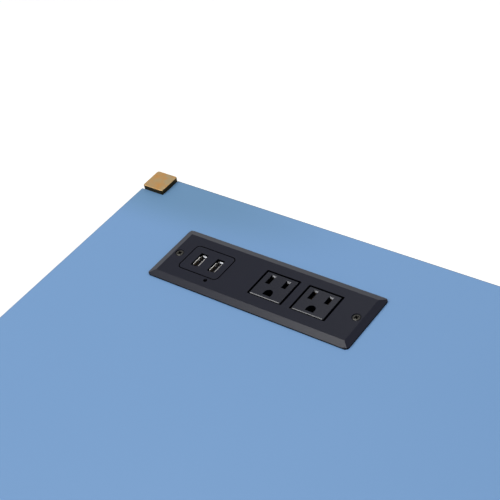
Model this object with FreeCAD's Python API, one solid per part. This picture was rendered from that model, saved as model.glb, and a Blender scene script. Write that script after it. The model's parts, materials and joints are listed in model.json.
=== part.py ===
import FreeCAD, Part
import math
import os

Vector = FreeCAD.Vector

# Writing desk with a steel tube frame, two drawers and a power unit in the top.
# Millimetres. X runs to the right, Y to the back, Z up. The origin is on the floor,
# midway across the whole desk, pulls included.

# Desk top
top_length = 1067.0
top_depth = 483.0
top_thickness = 22.0
top_height = 760.0  # floor to writing surface
top_edge_radius = 1.2
notch_gap = 0.2  # between the top's notch and the leg

# Steel frame
tube_size = 19.05
tube_wall = 1.2
tube_corner_radius = 3.2
least_radius = 0.3  # inside corner of a thick-walled tube
leg_inset_side = 1.9  # leg face inside the end edge of the top
leg_inset_back = 0.1  # leg face inside the front and back edges of the top
cap_rise = 3.55  # cap above the writing surface
cap_seat = 2.0  # end of the tube below the writing surface
cap_edge = 1.2  # chamfer round the top of a cap
plug_depth = 14.0  # ribs of a cap or glide, or an end plug, inside its tube
plug_gap = 0.1
plug_rib = 2.5
glide_thickness = 4.0
glide_chamfer = 0.8
stretcher_height = 110.0  # floor to the middle of the stretchers
bolt_diameter = 6.0
bolt_head_diameter = 11.0
bolt_head_height = 3.2
bolt_head_flat = 6.0  # diameter of the flat on a domed head
bolt_head_rim = 1.1  # straight edge of the head
bolt_reach = 12.0  # thread inside the stretcher's end plug
bolt_gap = 0.15
socket_width = 4.0  # hexagon socket of a bolt, across its flats
socket_depth = 2.0

# Welded bracket at the top of each leg
bracket_thickness = 3.0
bracket_width = 60.0  # from the leg's outer face, along X
bracket_length = 60.0  # from the leg's inner face, along Y
bracket_slide_gap = 12.5  # side flange above the drawer slide
bracket_cover = 6.0  # panel left outside the bracket
bracket_gap = 0.3

# Panels under the top
panel_thickness = 18.0
case_height = 110.0
rail_depth = 50.0
rail_thickness = 18.0
rail_setback = 3.0  # behind the drawer fronts
rail_gap = 2.0
divider_setback = 1.5

# Wood screws and the longer carcass screws
screw_diameter = 4.0
screw_head_diameter = 8.0
screw_head_height = 2.2
wood_screw_length = 16.0
carcass_screw_length = 32.0
screw_gap = 0.1
screw_edge = 12.0  # screw axis inside a bracket's edge
rail_screw_end = 50.0  # screw axis inside the rail's end
rail_screw_middle = 155.0  # screw axis from the middle of the rail
divider_screw_edge = 27.5  # screw axis inside the divider's top and bottom

# Drawers
front_top_gap = 3.0
front_end_gap = 2.0
front_centre_gap = 3.0
front_edge_radius = 1.5
box_board = 12.0
box_top_gap = 8.0  # drawer box under the front rail
box_lift = 12.0  # bottom of the drawer box above the bottom of the case
bottom_thickness = 5.0
groove_depth = 6.0
groove_height = 10.0  # bottom of the groove above the bottom of the box
groove_gap = 0.2

# Bar pulls
pull_centres = 128.0
pull_end = 10.0  # bar past the middle of its posts
pull_section = 9.0
pull_projection = 25.4
pull_edge_radius = 1.5
pull_screw_diameter = 4.0
pull_screw_head_diameter = 9.0
pull_screw_head_height = 2.5
pull_screw_grip = 8.0  # thread inside the pull's post

# Roller-bearing slides
slide_length = 350.0
slide_thickness = 12.7
slide_setback = 3.0
slide_rise = 28.0  # middle of the slide above the bottom of the box
slide_sheet = 1.2
slide_bend = 1.0
cabinet_channel_height = 35.0
channel_gap = 1.5  # lip of the cabinet channel off the drawer channel's web
cage_length = 90.0
cage_sheet = 0.7
cage_gap = 0.3  # cage off the cabinet channel's web
cage_run = 0.4  # cage off the drawer channel's lips
cage_short = 0.5  # cage inside the lips of the cabinet channel
roller_diameter = 4.7
roller_length = 5.0
roller_gap = 0.3  # off the channels
roller_seat_gap = 0.1  # in the cage
rollers_per_row = 3

# Power unit: bezel and housing
unit_from_side = 67.9  # end edge of the top to the bezel
unit_from_back = 43.8  # back edge of the top to the bezel
bezel_end = 9.4  # end of the bezel past its screws
bezel_overlap = 6.15  # bezel over the sides of the housing
bezel_rise = 2.7
bezel_lip = 1.6
bezel_bevel = 5.0
bezel_corner_radius = 3.0
housing_clear = 0.8  # wall off the widest socket flange or board
housing_depth = 34.0
housing_wall = 2.0
housing_corner_radius = 4.0
housing_gap = 0.5
ear_thickness = 1.0
ear_width = 18.0
ear_reach = 6.0  # ear past the screw
unit_screw_land = 1.6  # wood between the cut-out and each screw
unit_screw_diameter = 3.2
unit_screw_head_diameter = 5.8
unit_screw_head_height = 1.6
unit_screw_length = 18.0
unit_screw_sink = 0.1  # screw heads below the bezel's face
unit_screw_ring = 0.45  # groove round each head
unit_screw_ring_depth = 0.6
cross_length = 3.4
cross_width = 0.9
cross_depth = 1.0
row_offset = 0.6  # row of sockets towards the back from the bezel's middle

# Power unit: outlets
outlet_length = 26.1
outlet_width = 23.1
outlet_corner_radius = 0.8
outlet_gap = 1.1
outlet_hole_radius = 0.8
outlet_proud = 0.4
outlet_edge = 0.4
outlet_first = 8.45  # middle of the bezel to the first outlet
outlet_pitch = 34.5
socket_flange = 0.55  # under the bezel, round each outlet and the USB panel
socket_flange_thickness = 1.5
slot_spacing = 12.7
slot_from_middle = 4.9
neutral_slot_length = 8.6
live_slot_length = 7.2
slot_width = 3.5
slot_depth = 17.0
slot_mouth = 0.15
earth_from_slots = 11.9
earth_width = 6.6
earth_height = 5.0
contact_sheet = 0.5
contact_recess = 4.5
contact_gap = 0.05

# Power unit: USB ports, circuit board, status light and cord gland
usb_panel_length = 33.4
usb_panel_width = 23.8
usb_panel_corner_radius = 3.0
usb_panel_gap = 0.8
usb_panel_thickness = 12.0
usb_offset = -49.2  # middle of the bezel to the middle of the panel
usb_pitch = 14.5
usb_shift = 0.75  # ports to the right of the panel's middle
usb_shell_width = 12.9
usb_shell_height = 5.4
usb_shell_wall = 0.35
usb_shell_recess = 1.3
usb_shell_gap = 0.1
usb_lip_length = 8.4  # turned-out edge along each long side of a shell
usb_lip_width = 0.6
usb_lip_recess = 0.5
usb_lip_gap = 0.2
usb_tongue_side = 0.65  # tongue off the ends of the shell
usb_tongue_thickness = 1.8
usb_tongue_recess = 2.6
usb_tongue_shift = 0.6
usb_tongue_base = 3.0
board_thickness = 1.6
board_margin = 0.6
light_diameter = 2.8
light_gap = 0.1
light_recess = 1.3  # top of the light below the bezel's face
light_shift = 10.2  # to the right of the USB panel's middle
light_from_panel = 2.15  # in front of the panel's flange
gland_bore_diameter = 7.4
gland_wall = 1.8
gland_flange = 2.6
gland_flange_thickness = 2.5
gland_inside = 3.0

# Places that follow from the sizes above
panel_recess = tube_size - panel_thickness  # panels and fronts behind the legs' faces
pull_overhang = pull_projection - leg_inset_back - panel_recess
top_back = (top_depth + pull_overhang) / 2
top_front = top_back - top_depth
top_left = -top_length / 2
underside = top_height - top_thickness
case_bottom = underside - case_height
tube_inside = tube_size - 2 * tube_wall
tube_inside_radius = max(tube_corner_radius - tube_wall, least_radius)
leg_face_x = top_left + leg_inset_side
leg_x = leg_face_x + tube_size / 2
leg_y = {
    "front": top_front + leg_inset_back + tube_size / 2,
    "back": top_back - leg_inset_back - tube_size / 2,
}
inward = {"front": 1, "back": -1}
case_left = leg_face_x + tube_size
case_front = leg_y["front"] + tube_size / 2
case_back = leg_y["back"] - tube_size / 2
bracket_end = leg_face_x + bracket_width
box_bottom = case_bottom + box_lift
box_top = underside - rail_thickness - box_top_gap
slide_middle = box_bottom + slide_rise
bracket_low = slide_middle + cabinet_channel_height / 2 + bracket_slide_gap
box_back = case_front + slide_setback + slide_length
opening_right = -panel_thickness / 2  # right wall of the left drawer's opening
pull_length = pull_centres + 2 * pull_end
cabinet_channel_depth = slide_thickness - slide_sheet - channel_gap
drawer_channel_height = cabinet_channel_height - 2 * (slide_sheet + roller_diameter + 2 * roller_gap)
drawer_channel_depth = slide_thickness - slide_sheet - cage_gap - cage_sheet - cage_run
cage_depth = cabinet_channel_depth - slide_sheet - cage_gap - cage_short
roller_row = (cabinet_channel_height - roller_diameter) / 2 - slide_sheet - roller_gap

# Places on the power unit, from the middle of the bezel
usb_reach = usb_panel_length / 2 + max(usb_panel_gap + socket_flange, board_margin)
outlet_reach = outlet_length / 2 + outlet_gap + socket_flange
light_y = row_offset - usb_panel_width / 2 - usb_panel_gap - socket_flange - light_from_panel
board_front = light_y - light_diameter / 2 - board_margin
socket_front = row_offset - outlet_width / 2 - outlet_gap - socket_flange
housing_length = 2 * (max(usb_reach - usb_offset, outlet_first + outlet_pitch + outlet_reach)
                      + housing_clear + housing_wall)
housing_width = 2 * (max(-board_front, -socket_front) + housing_clear + housing_wall)
unit_screw_offset = housing_length / 2 + housing_gap + unit_screw_land + unit_screw_diameter / 2
bezel_length = 2 * (unit_screw_offset + bezel_end)
bezel_width = housing_width + 2 * bezel_overlap
gland_x = (usb_offset + usb_panel_length / 2 + outlet_first - outlet_length / 2) / 2
unit_x = top_left + unit_from_side + bezel_length / 2
unit_y = top_back - unit_from_back - bezel_width / 2
row_y = unit_y + row_offset
bezel_top = top_height + bezel_rise
head_top = bezel_top - unit_screw_sink
housing_floor = top_height - housing_depth + housing_wall
usb_x = unit_x + usb_offset
light_x = usb_x + light_shift
usb_floor = bezel_top - usb_panel_thickness


# How near two places, or the ends of two unit directions, have to be to count as the same
same_place = 1e-4


def block(x0, x1, y0, y1, z0, z1):
    corner = Vector(min(x0, x1), min(y0, y1), min(z0, z1))
    return Part.makeBox(abs(x1 - x0), abs(y1 - y0), abs(z1 - z0), corner)


def edges_along(solid, axis):
    return [e for e in solid.Edges if e.tangentAt(e.FirstParameter).cross(axis).Length < same_place]


def upright_edges(solid):
    return edges_along(solid, Vector(0, 0, 1))


def edges_at_height(solid, z):
    return [e for e in solid.Edges
            if abs(e.BoundBox.ZMin - z) < same_place and abs(e.BoundBox.ZMax - z) < same_place]


def rounded_prism(x, y, z0, z1, length, width, radius):
    solid = block(x - length / 2, x + length / 2, y - width / 2, y + width / 2, z0, z1)
    return solid.makeFillet(radius, upright_edges(solid))


def placed(solid, position, direction):
    # a solid made on the Z axis, turned to point along direction and moved to position
    moved = solid.copy()
    moved.Placement = FreeCAD.Placement(position, FreeCAD.Rotation(Vector(0, 0, 1), direction))
    return moved


def mirrored(solid):
    return solid.mirror(Vector(0, 0, 0), Vector(1, 0, 0))


def square_bar(start, end, size, radius):
    length = (end - start).Length
    bar = rounded_prism(0, 0, 0, length, size, size, radius)
    return placed(bar, start, end - start)


def square_tube(start, end):
    outside = square_bar(start, end, tube_size, tube_corner_radius)
    return outside.cut(square_bar(start, end, tube_inside, tube_inside_radius))


def plug_ribs(x, y, z0, z1):
    # two crossing ribs that grip the flats inside a tube
    half = tube_inside / 2 - plug_gap
    thin = plug_rib / 2
    across = block(x - half, x + half, y - thin, y + thin, z0, z1)
    return across.fuse(block(x - thin, x + thin, y - half, y + half, z0, z1))


def turned(profile):
    # a solid of revolution about Z from (radius, height) points
    points = [Vector(radius, 0, height) for radius, height in profile]
    face = Part.Face(Part.makePolygon(points + points[:1]))
    return face.revolve(Vector(0, 0, 0), Vector(0, 0, 1), 360)


def countersunk_screw(diameter, head_diameter, head_height, length, gap=0.0):
    # points along +Z from the flat of its head; with a gap it is the hole that takes it
    radius = diameter / 2 + gap
    head = head_diameter / 2 + gap
    return turned([(0, 0), (head, 0), (radius, head_height), (radius, length + gap), (0, length + gap)])


def flat_head_screw(diameter, head_diameter, head_height, length, gap=0.0):
    # points along +Z from the seat of its head; with a gap it is the hole that takes its shank
    shank = diameter / 2 + gap
    if gap:
        return Part.makeCylinder(shank, length + gap)
    head = head_diameter / 2
    return turned([(0, -head_height), (head, -head_height), (head, 0), (shank, 0), (shank, length),
                   (0, length)])


# Fasteners of the case: each place is the middle of a head and the way the screw goes in
def wood_screw_places():
    places = []
    for row in ("front", "back"):
        face = leg_y[row] + inward[row] * tube_size / 2
        near = face + inward[row] * screw_edge
        far = face + inward[row] * (bracket_length - screw_edge)
        up_x = bracket_end - screw_edge
        side_z = bracket_low + screw_edge
        flange_x = case_left + bracket_thickness
        places += [(Vector(up_x, y, underside - bracket_thickness), Vector(0, 0, 1)) for y in (near, far)]
        places.append((Vector(flange_x, far, side_z), Vector(-1, 0, 0)))
    places.append((Vector(up_x, case_back - bracket_thickness, side_z), Vector(0, 1, 0)))
    right = [(Vector(-p.x, p.y, p.z), Vector(-d.x, d.y, d.z)) for p, d in places]
    return places + right


def carcass_screw_places():
    rail_y = case_front + rail_setback + rail_depth / 2
    rail_end = bracket_end + rail_gap
    rail_z = underside - rail_thickness
    places = [(Vector(side * x, rail_y, rail_z), Vector(0, 0, 1))
              for side in (-1, 1) for x in (rail_end + rail_screw_end, -rail_screw_middle)]
    back_face = case_back + panel_thickness
    for z in (underside - divider_screw_edge, case_bottom + divider_screw_edge):
        places.append((Vector(0, back_face, z), Vector(0, -1, 0)))
    return places


def screws(gap=0.0):
    # flat heads on the brackets, sunk heads in the panels
    head = (screw_diameter, screw_head_diameter, screw_head_height)
    flat = flat_head_screw(*head, wood_screw_length, gap)
    sunk = countersunk_screw(*head, carcass_screw_length, gap)
    on_brackets = [placed(flat, p, d) for p, d in wood_screw_places()]
    in_panels = [placed(sunk, p, d) for p, d in carcass_screw_places()]
    return on_brackets, in_panels


bracket_holes, panel_holes = screws(screw_gap)


def drilled(solid):
    return solid.cut(bracket_holes + panel_holes)


# Desk top, notched round the legs and cut out for the power unit
def desk_top():
    top = block(top_left, -top_left, top_front, top_back, underside, top_height)
    top = top.makeFillet(top_edge_radius, edges_at_height(top, top_height))
    notch_x = leg_face_x + tube_size + notch_gap
    for row, edge in (("front", top_front), ("back", top_back)):
        notch_y = leg_y[row] + inward[row] * (tube_size / 2 + notch_gap)
        notch = block(top_left, notch_x, edge, notch_y, underside, top_height)
        top = top.cut([notch, mirrored(notch)])
    opening = rounded_prism(unit_x, unit_y, underside, top_height, housing_length + 2 * housing_gap,
                            housing_width + 2 * housing_gap, housing_corner_radius + housing_gap)
    return drilled(top.cut([opening] + unit_screws(screw_gap)))


# Legs with their welded brackets, caps, glides and stretchers
def leg(row):
    y = leg_y[row]
    way = inward[row]
    face = y + way * tube_size / 2
    end = face + way * bracket_length
    pieces = [
        block(leg_face_x + bracket_cover, bracket_end, face, end, underside - bracket_thickness, underside),
        block(case_left, case_left + bracket_thickness, face, end, bracket_low, underside),
    ]
    if row == "back":
        back = face + way * bracket_thickness
        pieces.append(block(case_left, bracket_end, face, back, bracket_low, underside))
    tube = square_tube(Vector(leg_x, y, glide_thickness), Vector(leg_x, y, top_height - cap_seat))
    solid = drilled(tube.fuse(pieces).removeSplitter())
    if row == "back":
        solid = solid.cut(stretcher_bolt(bolt_gap))
    return solid


def leg_cap(row):
    y = leg_y[row]
    seat = top_height - cap_seat
    crown = top_height + cap_rise
    cap = rounded_prism(leg_x, y, seat, crown, tube_size, tube_size, tube_corner_radius)
    cap = cap.makeChamfer(cap_edge, edges_at_height(cap, crown))
    return cap.fuse(plug_ribs(leg_x, y, seat - plug_depth, seat)).removeSplitter()


def foot_glide(row):
    y = leg_y[row]
    foot = rounded_prism(leg_x, y, 0, glide_thickness, tube_size, tube_size, tube_corner_radius)
    foot = foot.makeChamfer(glide_chamfer, edges_at_height(foot, 0))
    return foot.fuse(plug_ribs(leg_x, y, glide_thickness, glide_thickness + plug_depth)).removeSplitter()


def side_stretcher():
    start = Vector(leg_x, case_front, stretcher_height)
    return square_tube(start, Vector(leg_x, case_back, stretcher_height))


def back_stretcher():
    y = leg_y["back"]
    return square_tube(Vector(case_left, y, stretcher_height), Vector(-case_left, y, stretcher_height))


def stretcher_bolt(gap=0.0):
    # domed head on the outside of the back leg, thread in the stretcher's end plug
    shank = bolt_diameter / 2 + gap
    head = bolt_head_diameter / 2
    dome = turned([(0, -bolt_head_height), (bolt_head_flat / 2, -bolt_head_height), (head, -bolt_head_rim),
                   (head, 0), (0, 0)])
    rod = Part.makeCylinder(shank, tube_size + bolt_reach + gap)
    socket = Part.makePolygon([Vector(socket_width / math.sqrt(3) * math.cos(i * math.pi / 3),
                                      socket_width / math.sqrt(3) * math.sin(i * math.pi / 3),
                                      -bolt_head_height) for i in range(7)])
    bolt = dome.cut(Part.Face(socket).extrude(Vector(0, 0, socket_depth))).fuse(rod).removeSplitter()
    return placed(bolt, Vector(leg_face_x, leg_y["back"], stretcher_height), Vector(1, 0, 0))


def stretcher_plug():
    size = tube_inside - 2 * plug_gap
    start = Vector(case_left, leg_y["back"], stretcher_height)
    plug = square_bar(start, start + Vector(plug_depth, 0, 0), size, tube_inside_radius)
    return plug.cut(stretcher_bolt(bolt_gap))


# Panels of the case
def side_panel():
    panel = block(leg_face_x + panel_recess, case_left, case_front, case_back, case_bottom, underside)
    for row in ("front", "back"):
        face = leg_y[row] + inward[row] * tube_size / 2
        end = face + inward[row] * (bracket_length + bracket_gap)
        edge = leg_face_x + bracket_cover - bracket_gap
        low = underside - bracket_thickness - bracket_gap
        panel = panel.cut(block(edge, case_left, face, end, low, underside))
    return drilled(panel)


def back_panel():
    outside = case_back + panel_thickness
    return drilled(block(case_left, -case_left, case_back, outside, case_bottom, underside))


def front_rail():
    end = bracket_end + rail_gap
    front = case_front + rail_setback
    return drilled(block(end, -end, front, front + rail_depth, underside - rail_thickness, underside))


def centre_divider():
    half = panel_thickness / 2
    panel = block(-half, half, case_front + divider_setback, case_back, case_bottom, underside)
    rail_back = case_front + rail_setback + rail_depth + rail_gap
    panel = panel.cut(block(-half, half, case_front, rail_back, underside - rail_thickness, underside))
    return drilled(panel)


# Left drawer: box, front and pull
def drawer_pieces():
    left = case_left + slide_thickness
    right = opening_right - slide_thickness
    inner_left = left + box_board
    inner_right = right - box_board
    inner_front = case_front + box_board
    groove_low = box_bottom + groove_height
    groove_high = groove_low + bottom_thickness + 2 * groove_gap
    groove = block(inner_left - groove_depth, inner_right + groove_depth, inner_front - groove_depth,
                   box_back, groove_low, groove_high)
    front_left = case_left + front_end_gap
    front_right = -front_centre_gap / 2
    front = block(front_left, front_right, case_front - panel_thickness, case_front, case_bottom,
                  underside - front_top_gap)
    face_edges = [e for e in front.Edges if e.BoundBox.YMax < case_front - panel_thickness / 2]
    front = front.makeFillet(front_edge_radius, face_edges)
    pull_x = (front_left + front_right) / 2
    pull_z = (case_bottom + underside - front_top_gap) / 2
    screw_holes = [pull_screw(x, pull_z, screw_gap) for x in pull_screw_columns(pull_x)]
    box_front = block(inner_left, inner_right, case_front, inner_front, box_bottom, box_top)
    bottom = block(inner_left - groove_depth + groove_gap, inner_right + groove_depth - groove_gap,
                   inner_front - groove_depth + groove_gap, box_back, groove_low + groove_gap,
                   groove_high - groove_gap)
    return {
        "front": front.cut(screw_holes),
        "outer_side": block(left, inner_left, case_front, box_back, box_bottom, box_top).cut(groove),
        "inner_side": block(inner_right, right, case_front, box_back, box_bottom, box_top).cut(groove),
        "box_front": box_front.cut([groove] + screw_holes),
        "box_back": block(inner_left, inner_right, box_back - box_board, box_back, groove_high - groove_gap,
                          box_top),
        "bottom": bottom,
        "pull": bar_pull(pull_x, pull_z).cut(screw_holes),
        "pull_screws": Part.makeCompound([pull_screw(x, pull_z) for x in pull_screw_columns(pull_x)]),
    }


def pull_screw_columns(x):
    return (x - pull_centres / 2, x + pull_centres / 2)


def pull_screw(x, z, gap=0.0):
    # head inside the drawer, thread in the pull's post
    length = box_board + panel_thickness + pull_screw_grip
    screw = flat_head_screw(pull_screw_diameter, pull_screw_head_diameter, pull_screw_head_height, length,
                            gap)
    return placed(screw, Vector(x, case_front + box_board, z), Vector(0, -1, 0))


def bar_pull(x, z):
    half = pull_section / 2
    seat = case_front - panel_thickness
    face = seat - pull_projection
    bar = block(x - pull_length / 2, x + pull_length / 2, face, face + pull_section, z - half, z + half)
    bar = bar.makeFillet(pull_edge_radius, edges_along(bar, Vector(1, 0, 0)))
    posts = []
    for column in pull_screw_columns(x):
        post = block(column - half, column + half, face + half, seat, z - half, z + half)
        posts.append(post.makeFillet(pull_edge_radius, edges_along(post, Vector(0, 1, 0))))
    return bar.fuse(posts).removeSplitter()


# Slides of the left drawer. A channel is made against the left wall, its web at depth 0
def channel(web_x, way, height, depth):
    front = case_front + slide_setback
    end = front + slide_length
    low = slide_middle - height / 2
    high = slide_middle + height / 2
    solid = block(web_x, web_x + way * depth, front, end, low, high)
    bends = [e for e in edges_along(solid, Vector(0, 1, 0)) if abs(e.BoundBox.Center.x - web_x) < same_place]
    solid = solid.makeFillet(slide_bend, bends)
    hollow = block(web_x + way * slide_sheet, web_x + way * depth, front, end,
                   low + slide_sheet, high - slide_sheet)
    return solid.cut(hollow)


def both_walls(solid):
    # the same piece on the left and the right wall of the drawer's opening
    middle = Vector((case_left + opening_right) / 2, 0, 0)
    return Part.makeCompound([solid, solid.mirror(middle, Vector(1, 0, 0))])


def cabinet_channels():
    return both_walls(channel(case_left, 1, cabinet_channel_height, cabinet_channel_depth))


def drawer_channels():
    return both_walls(channel(case_left + slide_thickness, -1, drawer_channel_height, drawer_channel_depth))


def roller_places():
    x = case_left + slide_sheet + cage_gap + (cage_sheet + cage_depth - roller_length) / 2
    start = case_front + slide_setback + (slide_length - cage_length) / 2
    step = cage_length / rollers_per_row
    return [Vector(x, start + step * (i + 0.5), slide_middle + side * roller_row)
            for side in (-1, 1) for i in range(rollers_per_row)]


def roller_cages():
    web = case_left + slide_sheet + cage_gap
    start = case_front + slide_setback + (slide_length - cage_length) / 2
    end = start + cage_length
    reach = roller_row + cage_sheet / 2
    low = slide_middle - reach
    high = slide_middle + reach
    cage = block(web, web + cage_depth, start, end, low, high)
    hollow = block(web + cage_sheet, web + cage_depth, start, end, low + cage_sheet, high - cage_sheet)
    half = roller_diameter / 2 + roller_seat_gap
    windows = [block(p.x - roller_seat_gap, p.x + roller_length + roller_seat_gap, p.y - half, p.y + half,
                     p.z - cage_sheet, p.z + cage_sheet) for p in roller_places()]
    return both_walls(cage.cut([hollow] + windows))


def slide_rollers():
    rollers = [Part.makeCylinder(roller_diameter / 2, roller_length, p, Vector(1, 0, 0))
               for p in roller_places()]
    return both_walls(Part.makeCompound(rollers))


# Power unit
def unit_screws(gap=0.0):
    screw = countersunk_screw(unit_screw_diameter, unit_screw_head_diameter, unit_screw_head_height,
                              unit_screw_length, gap)
    return [placed(screw, Vector(unit_x + side * unit_screw_offset, row_y, head_top), Vector(0, 0, -1))
            for side in (-1, 1)]


def power_screws():
    heads = []
    for screw, side in zip(unit_screws(), (-1, 1)):
        x = unit_x + side * unit_screw_offset
        long = cross_length / 2
        thin = cross_width / 2
        bars = [block(x - a, x + a, row_y - b, row_y + b, head_top - cross_depth, head_top)
                for a, b in ((long, thin), (thin, long))]
        heads.append(screw.cut(bars))
    return Part.makeCompound(heads)


def frustum(x, y, z0, z1, length, width, growth):
    # a block whose sides lean in by growth from z0 to z1
    def outline(z, extra):
        a = length / 2 + extra
        b = width / 2 + extra
        return Part.makePolygon([Vector(x + i * a, y + j * b, z)
                                 for i, j in ((-1, -1), (1, -1), (1, 1), (-1, 1), (-1, -1))])

    return Part.makeLoft([outline(z0, growth), outline(z1, 0)], True, True)


def outlet_places():
    return [unit_x + outlet_first, unit_x + outlet_first + outlet_pitch]


def ears(gap=0.0):
    solids = []
    for side in (-1, 1):
        inner = unit_x + side * (housing_length / 2 - housing_wall)
        outer = unit_x + side * (unit_screw_offset + ear_reach + gap)
        half = ear_width / 2 + gap
        high = top_height + ear_thickness + gap
        solids.append(block(inner, outer, row_y - half, row_y + half, top_height, high))
    return solids


def power_bezel():
    plate = rounded_prism(unit_x, unit_y, top_height, bezel_top, bezel_length, bezel_width,
                          bezel_corner_radius)
    slope = bezel_bevel * bezel_rise / (bezel_rise - bezel_lip)
    plate = plate.common(frustum(unit_x, unit_y, top_height, bezel_top, bezel_length - 2 * bezel_bevel,
                                 bezel_width - 2 * bezel_bevel, slope))
    openings = [rounded_prism(x, row_y, top_height, bezel_top, outlet_length + 2 * outlet_gap,
                              outlet_width + 2 * outlet_gap, outlet_hole_radius)
                for x in outlet_places()]
    openings.append(rounded_prism(usb_x, row_y, top_height, bezel_top, usb_panel_length + 2 * usb_panel_gap,
                                  usb_panel_width + 2 * usb_panel_gap,
                                  usb_panel_corner_radius + usb_panel_gap))
    openings.append(Part.makeCylinder(light_diameter / 2 + light_gap, bezel_rise,
                                      Vector(light_x, unit_y + light_y, top_height)))
    head = unit_screw_head_diameter / 2 + unit_screw_ring
    groove = bezel_top - unit_screw_ring_depth
    openings += [Part.makeCylinder(head, unit_screw_ring_depth,
                                   Vector(unit_x + side * unit_screw_offset, row_y, groove))
                 for side in (-1, 1)]
    return plate.cut(openings + ears(plug_gap) + unit_screws(screw_gap))


def power_housing():
    low = top_height - housing_depth
    shell = rounded_prism(unit_x, unit_y, low, top_height, housing_length, housing_width,
                          housing_corner_radius)
    inside = rounded_prism(unit_x, unit_y, housing_floor, top_height, housing_length - 2 * housing_wall,
                           housing_width - 2 * housing_wall, housing_corner_radius - housing_wall)
    shell = shell.cut(inside)
    brims = [ear.cut(inside.translated(Vector(0, 0, ear_thickness))) for ear in ears()]
    shell = shell.fuse(brims).removeSplitter()
    hole = Part.makeCylinder(gland_bore_diameter / 2 + gland_wall + plug_gap, housing_wall,
                             Vector(unit_x + gland_x, row_y, low))
    return shell.cut([hole] + unit_screws(screw_gap))


def cord_gland():
    low = top_height - housing_depth
    neck = gland_bore_diameter / 2 + gland_wall
    brim = neck + gland_flange
    bore = gland_bore_diameter / 2
    profile = [(bore, -gland_flange_thickness), (brim, -gland_flange_thickness), (brim, 0), (neck, 0),
               (neck, housing_wall + gland_inside), (bore, housing_wall + gland_inside)]
    return turned(profile).translated(Vector(unit_x + gland_x, row_y, low))


def slot_places(x):
    slot_y = row_y + slot_from_middle
    half = slot_spacing / 2
    return [(x - half, slot_y, neutral_slot_length), (x + half, slot_y, live_slot_length)]


def earth_y():
    return row_y + slot_from_middle - earth_from_slots


def earth_hole(x):
    # arch with its flat side to the front
    half = earth_width / 2
    low = earth_y() - earth_height / 2
    spring = low + earth_height - half
    z = bezel_top + outlet_proud
    sides = [Part.makeLine(Vector(x - half, spring, z), Vector(x - half, low, z)),
             Part.makeLine(Vector(x - half, low, z), Vector(x + half, low, z)),
             Part.makeLine(Vector(x + half, low, z), Vector(x + half, spring, z))]
    crown = Part.Arc(Vector(x + half, spring, z), Vector(x, spring + half, z), Vector(x - half, spring, z))
    return Part.Face(Part.Wire(sides + [crown.toShape()])).extrude(Vector(0, 0, -slot_depth))


def outlet(x):
    face = bezel_top + outlet_proud
    body = rounded_prism(x, row_y, housing_floor, face, outlet_length, outlet_width, outlet_corner_radius)
    body = body.makeChamfer(outlet_edge, edges_at_height(body, face))
    flange = rounded_prism(x, row_y, top_height - socket_flange_thickness, top_height, 2 * outlet_reach,
                           outlet_width + 2 * (outlet_gap + socket_flange),
                           outlet_corner_radius + outlet_gap)
    cuts = [earth_hole(x)]
    for slot_x, slot_y, length in slot_places(x):
        cuts.append(block(slot_x - slot_width / 2, slot_x + slot_width / 2,
                          slot_y - length / 2, slot_y + length / 2, face - slot_depth, face))
        cuts.append(frustum(slot_x, slot_y, face, face - slot_mouth, slot_width, length, slot_mouth))
    return body.fuse(flange).cut(cuts).removeSplitter()


def contact_clip(x, y, width, length):
    # sheet bent to a U, open upwards, on the floor of its slot
    face = bezel_top + outlet_proud
    low = face - slot_depth
    half = width / 2 - contact_gap
    depth = length / 2 - contact_gap
    high = face - contact_recess
    clip = block(x - half, x + half, y - depth, y + depth, low, high)
    gap = half - contact_sheet
    return clip.cut(block(x - gap, x + gap, y - depth, y + depth, low + contact_sheet, high))


def outlet_contacts():
    clips = []
    straight = earth_height - earth_width / 2
    for x in outlet_places():
        for slot_x, slot_y, length in slot_places(x):
            clips.append(contact_clip(slot_x, slot_y, slot_width, length))
        clips.append(contact_clip(x, earth_y() - earth_height / 2 + straight / 2, earth_width, straight))
    return Part.makeCompound(clips)


def usb_places():
    return [usb_x + usb_shift - usb_pitch / 2, usb_x + usb_shift + usb_pitch / 2]


def usb_panel():
    panel = rounded_prism(usb_x, row_y, usb_floor, bezel_top, usb_panel_length, usb_panel_width,
                          usb_panel_corner_radius)
    flange = rounded_prism(usb_x, row_y, top_height - socket_flange_thickness, top_height,
                           usb_panel_length + 2 * (usb_panel_gap + socket_flange),
                           usb_panel_width + 2 * (usb_panel_gap + socket_flange), usb_panel_corner_radius)
    across = usb_shell_height / 2 - usb_shell_wall + usb_lip_width + usb_lip_gap
    along = usb_shell_width / 2 + usb_shell_gap
    holes = [block(x - across, x + across, row_y - along, row_y + along, usb_floor, bezel_top)
             for x in usb_places()]
    return panel.fuse(flange).cut(holes).removeSplitter()


def usb_shells():
    solids = []
    for x in usb_places():
        a = usb_shell_height / 2
        b = usb_shell_width / 2
        rim = bezel_top - usb_shell_recess
        shell = block(x - a, x + a, row_y - b, row_y + b, usb_floor, rim)
        a = a - usb_shell_wall
        b = b - usb_shell_wall
        shell = shell.cut(block(x - a, x + a, row_y - b, row_y + b, usb_floor, rim))
        lips = [block(x + side * a, x + side * (a + usb_lip_width), row_y - usb_lip_length / 2,
                      row_y + usb_lip_length / 2, rim, bezel_top - usb_lip_recess) for side in (-1, 1)]
        solids.append(shell.fuse(lips).removeSplitter())
    return Part.makeCompound(solids)


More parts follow.
